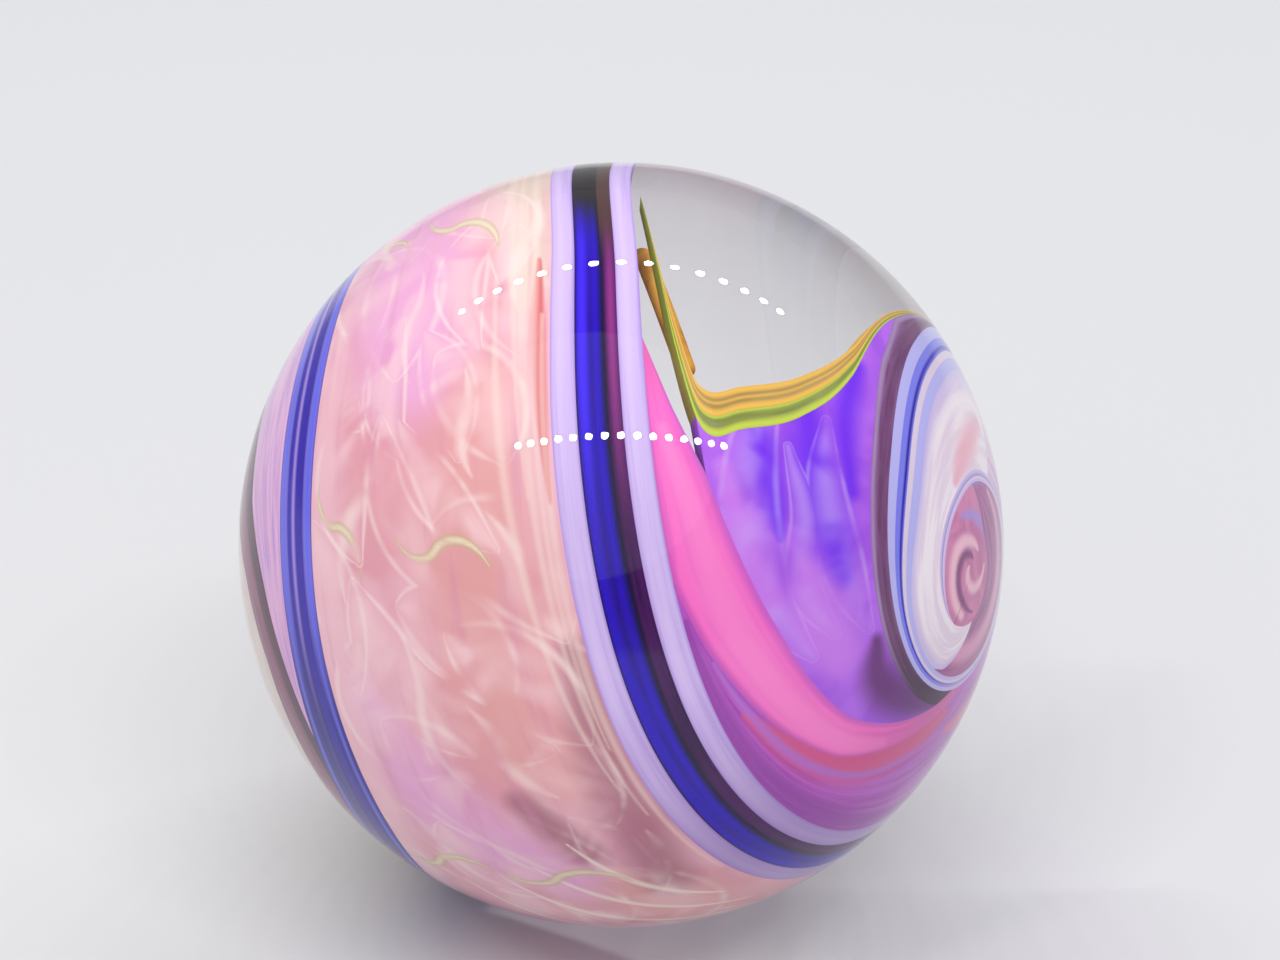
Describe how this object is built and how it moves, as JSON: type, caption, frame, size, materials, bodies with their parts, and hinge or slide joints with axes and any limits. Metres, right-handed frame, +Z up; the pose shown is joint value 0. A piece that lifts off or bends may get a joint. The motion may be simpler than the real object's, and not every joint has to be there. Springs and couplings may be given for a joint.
{
  "type": "glass marble",
  "caption": "Round glass marble with a striped ribbon wound from pole to pole, pink and purple fields, a clear window and a swirl under a clear skin.",
  "frame": {"origin": "middle of the ball", "axes": "+Z up, +X to the right, -Y towards the viewer; the swirl's right-hand pole points to +X, turned 27 degrees towards -Y and lifted 10 degrees"},
  "size_m": [0.045, 0.045, 0.045],
  "materials": {
    "clear": "polished clear glass",
    "pink": "opal pink glass under clear",
    "lavender": "opal lavender glass under clear",
    "cobalt": "deep cobalt glass under clear",
    "amethyst": "dark amethyst glass under clear",
    "magenta": "magenta glass under clear",
    "hot_pink": "hot pink glass under clear",
    "purple": "purple glass under clear",
    "mauve": "mauve glass under clear",
    "amber": "amber glass in clear",
    "yellow_green": "yellow-green glass in clear",
    "green": "green glass in clear",
    "white": "opal white glass under clear",
    "violet": "violet glass under clear",
    "plum": "dark plum glass under clear",
    "cream": "opal cream glass under clear"
  },
  "bodies": {
    "root": {"clear_glass": "clear", "pink_panel": "pink", "outer_lavender_line": "lavender", "cobalt_stripe": "cobalt", "amethyst_stripe": "amethyst", "inner_lavender_line": "lavender", "magenta_ribbon": "magenta", "hot_pink_ribbon": "hot_pink", "purple_panel": "purple", "mauve_line": "mauve", "amber_ribbon": "amber", "yellow_green_ribbon": "yellow_green", "amber_rod": "amber", "green_strand": "green", "white_panel": "white", "mauve_swirl": "mauve", "pink_swirl": "pink", "violet_panel": "violet", "plum_line": "plum", "mauve_panel": "mauve", "cream_cap": "cream"}
  },
  "joints": []
}
